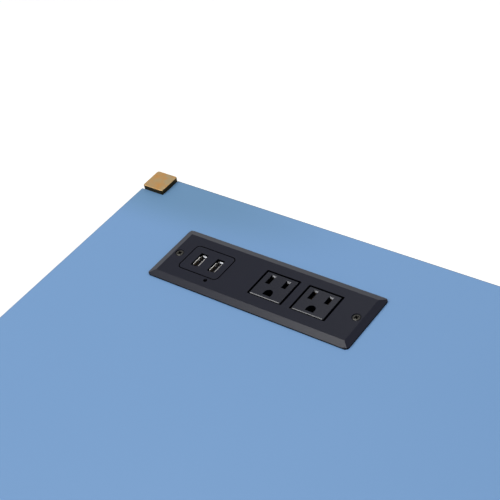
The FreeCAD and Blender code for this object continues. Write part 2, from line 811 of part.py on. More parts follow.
def usb_tongues():
    solids = []
    for x in usb_places():
        a = usb_shell_height / 2 - usb_shell_wall - usb_shell_gap
        b = usb_shell_width / 2 - usb_shell_wall - usb_shell_gap
        base = block(x - a, x + a, row_y - b, row_y + b, usb_floor, usb_floor + usb_tongue_base)
        middle = x + usb_tongue_shift
        half = usb_tongue_thickness / 2
        wide = usb_shell_width / 2 - usb_shell_wall - usb_tongue_side
        tongue = block(middle - half, middle + half, row_y - wide, row_y + wide, usb_floor,
                       bezel_top - usb_tongue_recess)
        solids.append(base.fuse(tongue).removeSplitter())
    return Part.makeCompound(solids)


def circuit_board():
    half = usb_panel_length / 2 + board_margin
    back = row_y + usb_panel_width / 2
    front = unit_y + board_front
    return block(usb_x - half, usb_x + half, front, back, usb_floor - board_thickness, usb_floor)


def status_light():
    foot = Vector(light_x, unit_y + light_y, usb_floor)
    return Part.makeCylinder(light_diameter / 2, bezel_top - light_recess - usb_floor, foot)


# Every piece by its node's name
pieces = {
    "desk_top": desk_top(),
    "side_panel_left": side_panel(),
    "side_panel_right": mirrored(side_panel()),
    "back_panel": back_panel(),
    "centre_divider": centre_divider(),
    "front_rail": front_rail(),
    "side_stretcher_left": side_stretcher(),
    "side_stretcher_right": mirrored(side_stretcher()),
    "back_stretcher": back_stretcher(),
    "stretcher_plugs": Part.makeCompound([stretcher_plug(), mirrored(stretcher_plug())]),
    "stretcher_bolts": Part.makeCompound([stretcher_bolt(), mirrored(stretcher_bolt())]),
    "power_bezel": power_bezel(),
    "power_housing": power_housing(),
    "power_screws": power_screws(),
    "cord_gland": cord_gland(),
    "outlet_left": outlet(outlet_places()[0]),
    "outlet_right": outlet(outlet_places()[1]),
    "outlet_contacts": outlet_contacts(),
    "usb_panel": usb_panel(),
    "usb_shells": usb_shells(),
    "usb_tongues": usb_tongues(),
    "circuit_board": circuit_board(),
    "status_light": status_light(),
}

wood_screws, carcass_screws = screws()
pieces["wood_screws"] = Part.makeCompound(wood_screws)
pieces["carcass_screws"] = Part.makeCompound(carcass_screws)

glides = []
for row in ("front", "back"):
    pieces["leg_" + row + "_left"] = leg(row)
    pieces["leg_" + row + "_right"] = mirrored(leg(row))
    pieces["leg_cap_" + row + "_left"] = leg_cap(row)
    pieces["leg_cap_" + row + "_right"] = mirrored(leg_cap(row))
    glides += [foot_glide(row), mirrored(foot_glide(row))]
pieces["foot_glides"] = Part.makeCompound(glides)

left_drawer = {"drawer_left_" + name: solid for name, solid in drawer_pieces().items()}
left_drawer["drawer_left_channels"] = drawer_channels()
left_drawer["cabinet_left_channels"] = cabinet_channels()
left_drawer["slide_left_roller_cages"] = roller_cages()
left_drawer["slide_left_rollers"] = slide_rollers()
for name, solid in left_drawer.items():
    pieces[name] = solid
    pieces[name.replace("left", "right")] = mirrored(solid)

os.makedirs("parts", exist_ok=True)
for name, solid in pieces.items():
    solid.exportStep("parts/" + name + ".step")
print(len(pieces), "nodes,", sum(len(solid.Solids) for solid in pieces.values()), "solids")
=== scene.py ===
import json
import math

import bmesh
import bpy
from mathutils import Matrix, Vector


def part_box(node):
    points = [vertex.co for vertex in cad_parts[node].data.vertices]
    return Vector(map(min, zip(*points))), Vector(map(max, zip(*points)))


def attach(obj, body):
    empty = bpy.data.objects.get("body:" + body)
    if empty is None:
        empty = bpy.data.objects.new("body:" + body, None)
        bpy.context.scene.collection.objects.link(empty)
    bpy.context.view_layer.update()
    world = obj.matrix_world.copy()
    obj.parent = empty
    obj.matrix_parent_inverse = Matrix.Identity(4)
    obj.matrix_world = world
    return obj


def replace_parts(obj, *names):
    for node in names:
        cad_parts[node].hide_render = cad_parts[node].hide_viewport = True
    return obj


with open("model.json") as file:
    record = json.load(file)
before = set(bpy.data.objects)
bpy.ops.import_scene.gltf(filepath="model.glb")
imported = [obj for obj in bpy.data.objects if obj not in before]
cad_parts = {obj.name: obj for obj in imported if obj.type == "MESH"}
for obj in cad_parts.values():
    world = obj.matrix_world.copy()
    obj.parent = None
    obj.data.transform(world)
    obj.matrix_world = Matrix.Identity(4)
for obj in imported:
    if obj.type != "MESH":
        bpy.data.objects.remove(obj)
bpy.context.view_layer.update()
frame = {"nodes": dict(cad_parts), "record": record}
nodes = frame["nodes"]
scene = bpy.context.scene
scene.view_settings.view_transform = "Standard"
print("desk loaded:", len(nodes), "CAD nodes")

inMetre = 1000  # pieces and patterns are in millimetres; the frame, camera, lamps and floor are in metres


def fromHex(code):
    # sRGB hex to the linear colour that a shader takes
    parts = [int(code[i:i + 2], 16) / 255 for i in (1, 3, 5)]
    return [p / 12.92 if p <= 0.04045 else ((p + 0.055) / 1.055) ** 2.4 for p in parts] + [1.0]


def perMetre(size):
    return inMetre / size


def addNode(tree, kind, inputs=None, **settings):
    # inputs holds numbers, colours, or the output socket of another node
    node = tree.nodes.new(kind)
    for name, value in settings.items():
        setattr(node, name, value)
    for name, value in (inputs or {}).items():
        if isinstance(value, bpy.types.NodeSocket):
            tree.links.new(value, node.inputs[name])
        else:
            node.inputs[name].default_value = value
    return node


def startMaterial(name, look):
    # a shader with its plain settings, and the place on the piece that patterns are laid out by
    material = bpy.data.materials.new(name)
    material.use_nodes = True
    tree = material.node_tree
    shader = tree.nodes["Principled BSDF"]
    shader.inputs["Base Color"].default_value = fromHex(look["colour"])
    shader.inputs["Metallic"].default_value = look.get("metallic", 0.0)
    shader.inputs["Roughness"].default_value = look["roughness"]
    shader.inputs["IOR"].default_value = look.get("ior", 1.5)
    place = tree.nodes.new("ShaderNodeTexCoord").outputs["Object"]
    return material, tree, shader, place


def layPatterns(tree, shader, look, tint, gloss=None, height=None):
    # tint runs between the colour and its second shade, gloss spreads the roughness each way, height stands
    # up from the surface by reliefDepth; the last two follow the tint where they aren't given
    gloss = tint if gloss is None else gloss
    height = tint if height is None else height
    low, high = (look["roughness"] + way * look["roughnessSpread"] for way in (-1, 1))
    blend = addNode(tree, "ShaderNodeMix", {"Factor": tint, "A": fromHex(look["colour"]),
                                            "B": fromHex(look["shade"])}, data_type="RGBA")
    tree.links.new(blend.outputs["Result"], shader.inputs["Base Color"])
    spread = addNode(tree, "ShaderNodeMapRange", {"Value": gloss, "To Min": low, "To Max": high})
    tree.links.new(spread.outputs["Result"], shader.inputs["Roughness"])
    bump = addNode(tree, "ShaderNodeBump", {"Height": height, "Distance": look["reliefDepth"] / inMetre})
    tree.links.new(bump.outputs["Normal"], shader.inputs["Normal"])
    return blend.outputs["Result"]


def evenSurface(name, look):
    # one fine pattern gives the tint, the gloss and the relief together
    material, tree, shader, place = startMaterial(name, look)
    grain = addNode(tree, "ShaderNodeTexNoise", {"Vector": place, "Scale": perMetre(look["grainSize"])})
    layPatterns(tree, shader, look, grain.outputs["Fac"])
    return material


# Sprayed lacquer on fibreboard: an even satin colour, faint clouds where coats overlap, a fine orange peel,
# a greyer, duller line of painted shade over the rounded edges, a deeper tone of painted shade round the
# legs
lacquer = {"colour": "#7CA7D8", "shade": "#76A1D2", "rim": "#45586B", "deep": "#6C97BF",
           "roughness": 0.42, "roughnessSpread": 0.05, "rimRoughness": 0.9, "cloudSize": 260,
           "peelSize": 2.6, "reliefDepth": 0.010, "rimStart": 0.995, "rimEnd": 0.95, "shadeReach": (10, 47),
           "shadeStretch": 4}


def edgeShadeMask(tree):
    # the boards lie square to the axes, so only an edge faces between them
    facing = tree.nodes.new("ShaderNodeNewGeometry").outputs["True Normal"]
    sizes = addNode(tree, "ShaderNodeVectorMath", {0: facing}, operation="ABSOLUTE")
    ways = addNode(tree, "ShaderNodeSeparateXYZ", {"Vector": sizes.outputs["Vector"]}).outputs
    level = addNode(tree, "ShaderNodeMath", {0: ways["X"], 1: ways["Y"]}, operation="MAXIMUM")
    most = addNode(tree, "ShaderNodeMath", {0: level.outputs[0], 1: ways["Z"]}, operation="MAXIMUM")
    edge = addNode(tree, "ShaderNodeMapRange", {
        "Value": most.outputs[0], "From Min": lacquer["rimStart"], "From Max": lacquer["rimEnd"]})
    return edge.outputs["Result"]


def shadeRoundLegs(tree, place):
    # painted shade: the coat is drawn in a deeper tone round the legs, spread further along the desk than
    # across it;
    # the four corners of the desk are folded onto one
    front, back = (sum(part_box("leg_cap_" + row + "_right"), Vector()) / 2 for row in ("front", "back"))
    middle = (0.0, (front.y + back.y) / 2, 0.0)
    along = 1 / lacquer["shadeStretch"]
    leg = (back.x * along, back.y - middle[1], 0.0)
    near, far = (reach / inMetre for reach in lacquer["shadeReach"])
    centred = addNode(tree, "ShaderNodeVectorMath", {0: place, 1: middle}, operation="SUBTRACT")
    folded = addNode(tree, "ShaderNodeVectorMath", {0: centred.outputs["Vector"]}, operation="ABSOLUTE")
    squeezed = addNode(tree, "ShaderNodeVectorMath", {0: folded.outputs["Vector"], 1: (along, 1, 0)},
                       operation="MULTIPLY")
    away = addNode(tree, "ShaderNodeVectorMath", {0: squeezed.outputs["Vector"], 1: leg},
                   operation="DISTANCE")
    thick = addNode(tree, "ShaderNodeMapRange",
                    {"Value": away.outputs["Value"], "From Min": far, "From Max": near},
                    interpolation_type="SMOOTHSTEP")
    return thick.outputs["Result"]


def lacqueredFibreboard():
    material, tree, shader, place = startMaterial("lacqueredFibreboard", lacquer)
    clouds = addNode(tree, "ShaderNodeTexNoise",
                     {"Vector": place, "Scale": perMetre(lacquer["cloudSize"]), "Detail": 3.0})
    peel = addNode(tree, "ShaderNodeTexNoise",
                   {"Vector": place, "Scale": perMetre(lacquer["peelSize"]), "Detail": 1.0})
    colour = layPatterns(tree, shader, lacquer, clouds.outputs["Fac"], height=peel.outputs["Fac"])
    edge = edgeShadeMask(tree)
    # painted shade round the legs, in the deep colour
    shadedCoat = addNode(tree, "ShaderNodeMix", {"Factor": shadeRoundLegs(tree, place), "A": colour,
                                           "B": fromHex(lacquer["deep"])}, data_type="RGBA")
    # painted shade: the rounded edges are drawn in a greyer colour, and made duller
    rim = addNode(tree, "ShaderNodeMix", {"Factor": edge, "A": shadedCoat.outputs["Result"],
                                          "B": fromHex(lacquer["rim"])}, data_type="RGBA")
    tree.links.new(rim.outputs["Result"], shader.inputs["Base Color"])
    satin = shader.inputs["Roughness"].links[0].from_socket
    dull = addNode(tree, "ShaderNodeMix", {"Factor": edge, "A": satin, "B": lacquer["rimRoughness"]})
    tree.links.new(dull.outputs["Result"], shader.inputs["Roughness"])
    return material


# Gold-coloured plating on steel tube: satin, with drawn lines along the tube that are too fine to see
# singly, so drawn coarser
tubePlating = {"colour": "#D6B07C", "shade": "#C9A26C", "metallic": 1.0, "roughness": 0.30,
               "roughnessSpread": 0.06, "lineWidth": 1.2, "lineLength": 90, "cloudSize": 70,
               "reliefDepth": 0.003}


def goldPlatedTube(name, along):
    material, tree, shader, place = startMaterial(name, tubePlating)
    lines = [perMetre(tubePlating["lineLength" if axis == along else "lineWidth"]) for axis in "xyz"]
    stretched = addNode(tree, "ShaderNodeMapping", {"Vector": place, "Scale": lines})
    drawn = addNode(tree, "ShaderNodeTexNoise",
                    {"Vector": stretched.outputs["Vector"], "Scale": 1.0, "Detail": 2.0})
    clouds = addNode(tree, "ShaderNodeTexNoise",
                     {"Vector": place, "Scale": perMetre(tubePlating["cloudSize"])})
    layPatterns(tree, shader, tubePlating, clouds.outputs["Fac"], drawn.outputs["Fac"],
                drawn.outputs["Fac"])
    return material


# Gold-plated die casting: polished before plating, so brighter, with soft waves left by the polishing
castPlating = {"colour": "#DDB784", "shade": "#D0A66F", "metallic": 1.0, "roughness": 0.26,
               "roughnessSpread": 0.05, "cloudSize": 9, "waveSize": 4.0, "reliefDepth": 0.02}


def goldPlatedCasting():
    material, tree, shader, place = startMaterial("goldPlatedCasting", castPlating)
    clouds = addNode(tree, "ShaderNodeTexNoise",
                     {"Vector": place, "Scale": perMetre(castPlating["cloudSize"])})
    waves = addNode(tree, "ShaderNodeTexNoise",
                    {"Vector": place, "Scale": perMetre(castPlating["waveSize"]), "Detail": 0.0})
    layPatterns(tree, shader, castPlating, clouds.outputs["Fac"], height=waves.outputs["Fac"])
    return material


# Gold-plated cap: satin on its face, an orange cloud in the plating, dark bronze painted shade down its
# sides
capPlating = {"colour": "#F0D09C", "shade": "#FDC074", "side": "#46371F", "metallic": 1.0,
              "roughness": 0.34, "roughnessSpread": 0.06, "cloudSize": 9, "waveSize": 4.0,
              "reliefDepth": 0.015, "cloudSpan": (0.45, 0.72), "sideShadeStart": 0.9, "sideShadeEnd": 0.6}


def goldPlatedCap():
    material, tree, shader, place = startMaterial("goldPlatedCap", capPlating)
    clouds = addNode(tree, "ShaderNodeTexNoise",
                     {"Vector": place, "Scale": perMetre(capPlating["cloudSize"])})
    waves = addNode(tree, "ShaderNodeTexNoise",
                    {"Vector": place, "Scale": perMetre(capPlating["waveSize"]), "Detail": 0.0})
    low, high = capPlating["cloudSpan"]
    tint = addNode(tree, "ShaderNodeMapRange",
                   {"Value": clouds.outputs["Fac"], "From Min": low, "From Max": high})
    colour = layPatterns(tree, shader, capPlating, tint.outputs["Result"], clouds.outputs["Fac"],
                         waves.outputs["Fac"])
    # painted shade: the upright sides are drawn in dark bronze
    facing = tree.nodes.new("ShaderNodeNewGeometry").outputs["Normal"]
    ways = addNode(tree, "ShaderNodeSeparateXYZ", {"Vector": facing})
    sideShadeMask = addNode(tree, "ShaderNodeMapRange", {
        "Value": ways.outputs["Z"], "From Min": capPlating["sideShadeStart"], "From Max": capPlating["sideShadeEnd"]})
    paintedSideShade = addNode(tree, "ShaderNodeMix", {"Factor": sideShadeMask.outputs["Result"], "A": colour,
                                            "B": fromHex(capPlating["side"])}, data_type="RGBA")
    tree.links.new(paintedSideShade.outputs["Result"], shader.inputs["Base Color"])
    return material


# Upright walls of a moulding drag against the tool, so they come out dull, and are drawn near-black as
# painted shade, for the shade down in a gap
dullWallsAndShade = {"colour": "#030408", "uprightUnder": 0.2, "levelOver": 0.7, "shine": 0.03}


def dullAndShadedUprightWalls(tree, shader, colour, shine):
    facing = tree.nodes.new("ShaderNodeNewGeometry").outputs["True Normal"]
    ways = addNode(tree, "ShaderNodeSeparateXYZ", {"Vector": facing})
    span = {"Value": ways.outputs["Z"], "From Min": dullWallsAndShade["uprightUnder"],
            "From Max": dullWallsAndShade["levelOver"]}
    level = addNode(tree, "ShaderNodeMapRange", span)
    gloss = addNode(tree, "ShaderNodeMapRange", {**span, "To Min": dullWallsAndShade["shine"], "To Max": shine})
    tree.links.new(gloss.outputs["Result"], shader.inputs["Specular IOR Level"])
    # painted shade: upright walls are drawn near-black
    paintedWallShade = addNode(tree, "ShaderNodeMix", {"Factor": level.outputs["Result"], "B": colour,
                                             "A": fromHex(dullWallsAndShade["colour"])}, data_type="RGBA")
    tree.links.new(paintedWallShade.outputs["Result"], shader.inputs["Base Color"])


# Black ABS moulded in a spark-eroded tool: blue-black, with an even fine grain that keeps it from shining;
# a real grain of a tenth of a millimetre wouldn't show, so it is drawn coarser
blackAbs = {"colour": "#0B0F22", "shade": "#0E1225", "roughness": 0.33, "roughnessSpread": 0.04,
            "ior": 1.46, "shine": 0.42, "grainSize": 0.7, "cloudSize": 18, "reliefDepth": 0.012}


def mouldedAbs():
    material, tree, shader, place = startMaterial("mouldedAbs", blackAbs)
    grain = addNode(tree, "ShaderNodeTexNoise",
                    {"Vector": place, "Scale": perMetre(blackAbs["grainSize"]), "Detail": 2.0})
    clouds = addNode(tree, "ShaderNodeTexNoise",
                     {"Vector": place, "Scale": perMetre(blackAbs["cloudSize"])})
    colour = layPatterns(tree, shader, blackAbs, clouds.outputs["Fac"], grain.outputs["Fac"],
                         grain.outputs["Fac"])
    dullAndShadedUprightWalls(tree, shader, colour, blackAbs["shine"])
    return material


# Black polycarbonate of the sockets: from a smoother tool than the bezel, so its edges catch the light;
# its grain is drawn coarser too
polycarbonate = {"colour": "#0B0F20", "shade": "#0E1224", "roughness": 0.25, "roughnessSpread": 0.03,
                 "ior": 1.54, "shine": 0.48, "grainSize": 0.5, "reliefDepth": 0.005}


def mouldedPolycarbonate():
    material, tree, shader, place = startMaterial("mouldedPolycarbonate", polycarbonate)
    grain = addNode(tree, "ShaderNodeTexNoise",
                    {"Vector": place, "Scale": perMetre(polycarbonate["grainSize"])})
    colour = layPatterns(tree, shader, polycarbonate, grain.outputs["Fac"])
    dullAndShadedUprightWalls(tree, shader, colour, polycarbonate["shine"])
    return material


# Zinc-plated sheet: a cool grey metal whose crystals show as dim patches
zinc = {"colour": "#B4B8BC", "shade": "#A3A8AD", "metallic": 1.0, "roughness": 0.36,
        "roughnessSpread": 0.10, "crystalSize": 6, "reliefDepth": 0.004}


def zincPlatedSheet():
    material, tree, shader, place = startMaterial("zincPlatedSheet", zinc)
    crystals = addNode(tree, "ShaderNodeTexVoronoi",
                       {"Vector": place, "Scale": perMetre(zinc["crystalSize"])})
    layPatterns(tree, shader, zinc, crystals.outputs["Color"], height=crystals.outputs["Distance"])
    return material


# Black-oxide screw: worn paler and a little brown on its face, still black down in the cross recess
blackOxide = {"colour": "#6A6965", "shade": "#42413E", "recess": "#050505", "metallic": 0.9,
              "roughness": 0.34, "roughnessSpread": 0.08, "cloudSize": 1.5, "reliefDepth": 0.01,
              "wornDepth": 0.12, "blackDepth": 0.3}


def blackOxideSteel():
    material, tree, shader, place = startMaterial("blackOxideSteel", blackOxide)
    clouds = addNode(tree, "ShaderNodeTexNoise",
                     {"Vector": place, "Scale": perMetre(blackOxide["cloudSize"])})
    worn = layPatterns(tree, shader, blackOxide, clouds.outputs["Fac"])
    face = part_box("power_screws")[1].z
    ways = addNode(tree, "ShaderNodeSeparateXYZ", {"Vector": place})
    deep = addNode(tree, "ShaderNodeMapRange", {
        "Value": ways.outputs["Z"], "From Min": face - blackOxide["wornDepth"] / inMetre,
        "From Max": face - blackOxide["blackDepth"] / inMetre})
    black = addNode(tree, "ShaderNodeMix", {"Factor": deep.outputs["Result"], "A": worn,
                                            "B": fromHex(blackOxide["recess"])}, data_type="RGBA")
    tree.links.new(black.outputs["Result"], shader.inputs["Base Color"])
    return material


# Melamine-faced board: warm white, with the shallow pores of its press plate
melamine = {"colour": "#DDD9D1", "shade": "#D5D0C7", "roughness": 0.50, "roughnessSpread": 0.06, "ior": 1.5,
            "poreWidth": 1.6, "poreLength": 22, "reliefDepth": 0.03}


def melamineBoard():
    material, tree, shader, place = startMaterial("melamineBoard", melamine)
    across = perMetre(melamine["poreWidth"])
    lines = [across, perMetre(melamine["poreLength"]), across]
    stretched = addNode(tree, "ShaderNodeMapping", {"Vector": place, "Scale": lines})
    pores = addNode(tree, "ShaderNodeTexNoise",
                    {"Vector": stretched.outputs["Vector"], "Scale": 1.0, "Detail": 3.0})
    layPatterns(tree, shader, melamine, pores.outputs["Fac"])
    return material


# Green solder resist over glass laminate: glossy, the weave just showing through
solderResist = {"colour": "#1E5A38", "shade": "#18482D", "roughness": 0.28, "roughnessSpread": 0.05,
                "ior": 1.52, "weaveSize": 0.6, "reliefDepth": 0.01}


def solderResistBoard():
    material, tree, shader, place = startMaterial("solderResistBoard", solderResist)
    weave = addNode(tree, "ShaderNodeTexChecker",
                    {"Vector": place, "Scale": perMetre(solderResist["weaveSize"])})
    layPatterns(tree, shader, solderResist, weave.outputs["Fac"])
    return material


# Dark nylon: waxy, slightly uneven sheen
nylon = {"colour": "#26272A", "shade": "#2E2F32", "roughness": 0.48, "roughnessSpread": 0.08, "ior": 1.53,
         "grainSize": 5, "reliefDepth": 0.02}

# Smoked acrylic of the status light: dark until it is lit
acrylic = {"colour": "#08090B", "shade": "#0C0D10", "roughness": 0.15, "roughnessSpread": 0.03, "ior": 1.49,
           "grainSize": 0.8, "reliefDepth": 0.004}

# Bent sheet of the contacts, shells and springs: bright from the rolling mill, with faint streaks that are
# drawn coarser than they are
rolledBrass = {"colour": "#D9B56A", "shade": "#C79F55", "metallic": 1.0, "roughness": 0.28,
               "roughnessSpread": 0.06, "grainSize": 0.8, "reliefDepth": 0.004}
rolledNickel = {"colour": "#E6E4E0", "shade": "#D6D4D0", "metallic": 1.0, "roughness": 0.38,
                "roughnessSpread": 0.05, "grainSize": 0.8, "reliefDepth": 0.003}
tinnedSpring = {"colour": "#A2A4A8", "shade": "#8E9094", "metallic": 1.0, "roughness": 0.42,
                "roughnessSpread": 0.08, "grainSize": 0.8, "reliefDepth": 0.004}

made = {
    "lacquer": lacqueredFibreboard(),
    "melamine": melamineBoard(),
    "legs": goldPlatedTube("goldPlatedLegs", "z"),
    "sideStretchers": goldPlatedTube("goldPlatedSideStretchers", "y"),
    "backStretcher": goldPlatedTube("goldPlatedBackStretcher", "x"),
    "casting": goldPlatedCasting(),
    "cap": goldPlatedCap(),
    "abs": mouldedAbs(),
    "polycarbonate": mouldedPolycarbonate(),
    "nylon": evenSurface("mouldedNylon", nylon),
    "zinc": zincPlatedSheet(),
    "blackOxide": blackOxideSteel(),
    "brass": evenSurface("rolledBrass", rolledBrass),
    "nickel": evenSurface("rolledNickel", rolledNickel),
    "tinned": evenSurface("tinnedSpring", tinnedSpring),
    "solderResist": solderResistBoard(),
    "acrylic": evenSurface("smokedAcrylic", acrylic),
}
print("materials mixed:", len(made))

# Each finish with the CAD nodes that wear it, and the size in millimetres to which their arrises are eased;
# a node with no size keeps the edges and the shading of its solid
sides = ("left", "right")
corners = [row + "_" + side for row in ("front", "back") for side in sides]
finishes = [
    ("lacquer", 0.0, ["desk_top"]),
    ("lacquer", 0.5, ["side_panel_left", "side_panel_right", "back_panel", "centre_divider", "front_rail",
                      "drawer_left_front", "drawer_right_front"]),
    ("melamine", 0.4, ["drawer_" + side + "_" + board for side in sides
                       for board in ("outer_side", "inner_side", "box_front", "box_back", "bottom")]),
    ("legs", 0.0, ["leg_" + corner for corner in corners]),
    ("sideStretchers", 0.0, ["side_stretcher_left", "side_stretcher_right"]),
    ("backStretcher", 0.0, ["back_stretcher"]),
    ("casting", 0.2, ["drawer_left_pull", "drawer_right_pull", "stretcher_bolts"]),
    ("abs", 0.15, ["power_housing", "cord_gland", "usb_panel"]),
    ("polycarbonate", 0.1, ["usb_tongues"]),
    ("nylon", 0.3, ["foot_glides", "stretcher_plugs"]),
    ("zinc", 0.1, ["cabinet_" + side + "_channels" for side in sides]
     + ["drawer_" + side + "_channels" for side in sides]
     + ["slide_" + side + "_" + piece for side in sides for piece in ("roller_cages", "rollers")]),
    ("brass", 0.05, ["outlet_contacts"]),
    ("solderResist", 0.1, ["circuit_board"]),
    ("acrylic", 0.3, ["status_light"]),
]
easing = {"weld": 1e-6, "angle": 30, "segments": 2, "smoothUnder": 35}


def dress(node, material, arris, angle=easing["angle"]):
    # the node keeps its mesh: welding, eased arrises and smooth shading are modifiers on it
    node.data.materials.clear()
    node.data.materials.append(material)
    if not arris:
        return
    node.data.shade_smooth()
    seams = node.modifiers.new("weldSeams", "WELD")
    seams.merge_threshold = easing["weld"]
    eased = node.modifiers.new("easedArrises", "BEVEL")
    eased.width = arris / inMetre
    eased.segments = easing["segments"]
    eased.limit_method = "ANGLE"
    eased.angle_limit = math.radians(angle)
    eased.use_clamp_overlap = True
    eased.face_strength_mode = "FSTR_ALL"
    flat = node.modifiers.new("flatFaces", "WEIGHTED_NORMAL")
    flat.use_face_influence = True


for finish, arris, names in finishes:
    for name in names:
        dress(nodes[name], made[finish], arris)
print("finishes on", sum(len(names) for _, _, names in finishes), "nodes")

mounts = {mount["name"]: [metre * inMetre for metre in mount["pos_m"]]
          for mount in frame["record"]["mounts"]}


def addPiece(name, shape, finish, body="desk"):
    # shape is a bmesh in millimetres in the desk's frame
    sheet = bpy.data.meshes.new(name)
    bmesh.ops.scale(shape, vec=[1 / inMetre] * 3, verts=shape.verts)
    bmesh.ops.recalc_face_normals(shape, faces=shape.faces)
    shape.to_mesh(sheet)
    shape.free()
    if "custom_normal" in sheet.attributes:  # those of the solid don't fit a shape that was changed
        sheet.attributes.remove(sheet.attributes["custom_normal"])
    sheet.shade_smooth()
    sheet.set_sharp_from_angle(angle=math.radians(easing["smoothUnder"]))
    sheet.materials.append(made[finish])
    piece = bpy.data.objects.new(name, sheet)
    scene.collection.objects.link(piece)
    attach(piece, body)
    return piece


def solidShape(node):
    # the solids of a CAD node, as a bmesh in millimetres
    shape = bmesh.new()
    shape.from_mesh(nodes[node].data)
    bmesh.ops.remove_doubles(shape, verts=shape.verts, dist=easing["weld"])
    bmesh.ops.scale(shape, vec=[inMetre] * 3, verts=shape.verts)
    return shape


def addPrism(shape, origin, inward, across, outline, width):
    # an outline of (inward, down) points from the origin, drawn out to both sides by half the width
    origin, inward, across = Vector(origin), Vector(inward), Vector(across)
    ends = []
    for way in (-1, 1):
        ends.append([shape.verts.new(origin + inward * a - Vector((0, 0, b)) + across * (way * width / 2))
                     for a, b in outline])
    for end in ends:
        shape.faces.new(end)
    joinRings(shape, ends)


def roundedRing(shape, middle, halves, radius, steps, z):
    # corners of a level rectangle with round corners, in order round it
    verts = []
    for quarter in range(4):
        towards = math.pi / 4 + quarter * math.pi / 2
        x = middle[0] + math.copysign(halves[0] - radius, math.cos(towards))
        y = middle[1] + math.copysign(halves[1] - radius, math.sin(towards))
        for step in range(steps + 1):
            turn = (quarter + step / steps) * math.pi / 2
            verts.append(shape.verts.new((x + radius * math.cos(turn), y + radius * math.sin(turn), z)))
    return verts


def squareTo(along):
    # two ways at right angles to an axis and to each other
    one = along.orthogonal().normalized()
    return one, along.cross(one)


def turnedRing(shape, middle, along, radii):
    # corners round an axis, one for each radius
    one, two = squareTo(along)
    turns = [k * 2 * math.pi / len(radii) for k in range(len(radii))]
    return [shape.verts.new(middle + (one * math.cos(turn) + two * math.sin(turn)) * radius)
            for turn, radius in zip(turns, radii)]


def joinRings(shape, rings):
    # a wall from each ring to the next; a ring of one corner closes it to a point
    for a, b in zip(rings, rings[1:]):
        count = max(len(a), len(b))
        for i in range(count):
            j = (i + 1) % count
            quad = [a[i % len(a)], a[j % len(a)], b[j % len(b)], b[i % len(b)]]
            shape.faces.new(list(dict.fromkeys(quad)))


def crossOutline(reach, half):
    # corners of a cross with four equal arms, in order round it
    arm = [(reach, -half), (reach, half), (half, half)]
    outline = []
    for quarter in range(4):
        outline += arm
        arm = [(-y, x) for x, y in arm]
    return outline


# Caps of the legs: a crisp square with a fine rounded edge, on two crossing ribs that grip inside the tube
legCap = {"corner": 1.7, "cornerSteps": 5, "edge": 0.55, "edgeSteps": 3, "height": 5.55,
          "ribThickness": 2.5, "ribLength": 16.45}


def addCap(corner):
    shape = bmesh.new()
    p = legCap
    low, high = (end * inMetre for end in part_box("leg_cap_" + corner))
    middle = (low + high) / 2
    half = (high.x - low.x) / 2
    seat = high.z - p["height"]
    profile = [(0.0, seat)]
    for step in range(p["edgeSteps"] + 1):
        turn = step / p["edgeSteps"] * math.pi / 2
        profile.append((p["edge"] * (1 - math.cos(turn)), high.z - p["edge"] * (1 - math.sin(turn))))
    rings = [roundedRing(shape, middle, (half - inset, half - inset), p["corner"] - inset,
                         p["cornerSteps"], z) for inset, z in profile]
    ribs = [[shape.verts.new((middle.x + x, middle.y + y, z))
             for x, y in crossOutline(p["ribLength"] / 2, p["ribThickness"] / 2)] for z in (low.z, seat)]
    for stack in (rings, ribs):
        joinRings(shape, stack)
        shape.faces.new(stack[0])
        shape.faces.new(stack[-1])
    cap = addPiece("platedCap_" + corner, shape, "cap")
    cap.modifiers.new("flatFaces", "WEIGHTED_NORMAL").keep_sharp = True
    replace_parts(cap, "leg_cap_" + corner)


for corner in corners:
    addCap(corner)


# Bezel of the power unit: its rim slopes down to a thinner lip than that of its solid, at an angle so flat
# that its edges need a finer limit than others to be eased
bezelRim = {"lip": 1.6, "thinLip": 1.05, "bevel": 5.0, "near": 0.02, "arris": 0.15, "angle": 8}


def addBezel():
    shape = solidShape("power_bezel")
    p = bezelRim
    low, high = (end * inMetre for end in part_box("power_bezel"))
    drop = high.z - low.z - p["lip"]
    steeper = (high.z - low.z - p["thinLip"]) / drop
    for vert in shape.verts:
        inside = min(vert.co.x - low.x, high.x - vert.co.x, vert.co.y - low.y, high.y - vert.co.y)
        if abs(low.z + p["lip"] + inside * drop / p["bevel"] - vert.co.z) < p["near"]:
            vert.co.z = high.z - (high.z - vert.co.z) * steeper
    bezel = addPiece("slopingBezel", shape, "abs")
    dress(bezel, made["abs"], p["arris"], p["angle"])
    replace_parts(bezel, "power_bezel")


addBezel()


# Faces of the outlets: their sides lean in towards the face by the draft of the mould, and a little to the
# front, and the arch of each earth hole leans back, to lead the pin in
outletFace = {"halfLength": 13.05, "halfWidth": 11.55, "rim": 1.0, "depth": 1.2, "draft": 0.55,
              "forward": 0.35, "archHalfWidth": 3.4, "archFrom": -7.9, "archTo": -4.3, "archLean": 0.8}


def addOutlet(side):
    shape = solidShape("outlet_" + side)
    p = outletFace
    x, y, z = mounts["mains_outlet_" + side]
    for vert in shape.verts:
        across, along = vert.co.x - x, vert.co.y - y
        onRim = abs(across) > p["halfLength"] - p["rim"] or abs(along) > p["halfWidth"] - p["rim"]
        onArch = abs(across) < p["archHalfWidth"] and p["archFrom"] < along < p["archTo"]
        if onRim and vert.co.z > z - p["depth"]:
            vert.co.x -= across * p["draft"] / p["halfLength"]
            vert.co.y -= p["forward"]
        elif onArch and vert.co.z > z - p["depth"]:
            vert.co.y += p["archLean"]
    outlet = addPiece("draftedOutlet_" + side, shape, "polycarbonate")
    outlet.modifiers.new("flatFaces", "WEIGHTED_NORMAL").keep_sharp = True
    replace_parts(outlet, "outlet_" + side)


for side in sides:
    addOutlet(side)


